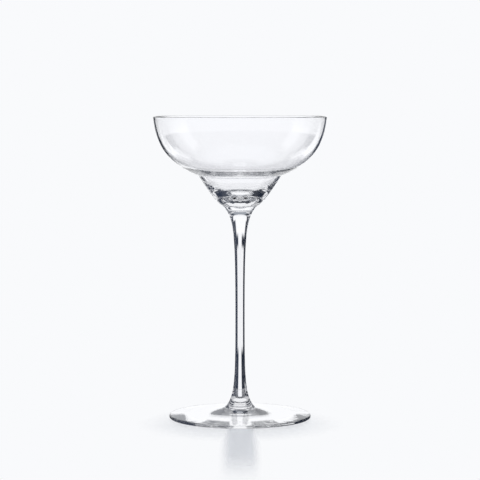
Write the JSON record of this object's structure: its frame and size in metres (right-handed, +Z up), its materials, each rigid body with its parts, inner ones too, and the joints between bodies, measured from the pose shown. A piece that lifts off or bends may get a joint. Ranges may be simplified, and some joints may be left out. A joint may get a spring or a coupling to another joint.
{
  "type": "margarita glass",
  "caption": "Clear stemmed cocktail glass with a wide rounded bowl, a stepped lower cup, a slender flared stem and a round foot; it stands on a table and holds a drink.",
  "frame": {"origin": "on the glass's axis, at the plane of the foot's rest ring", "axes": "+Z up along the axis towards the rim; the glass is round, so X and Y are free"},
  "size_m": [0.11, 0.11, 0.1922],
  "materials": {
    "bowl": "clear, fire polished",
    "stem": "clear, fire polished",
    "foot": "clear, pressed and fire polished"
  },
  "bodies": {
    "root": {"bowl": "bowl", "stem": "stem", "foot": "foot"}
  },
  "joints": []
}
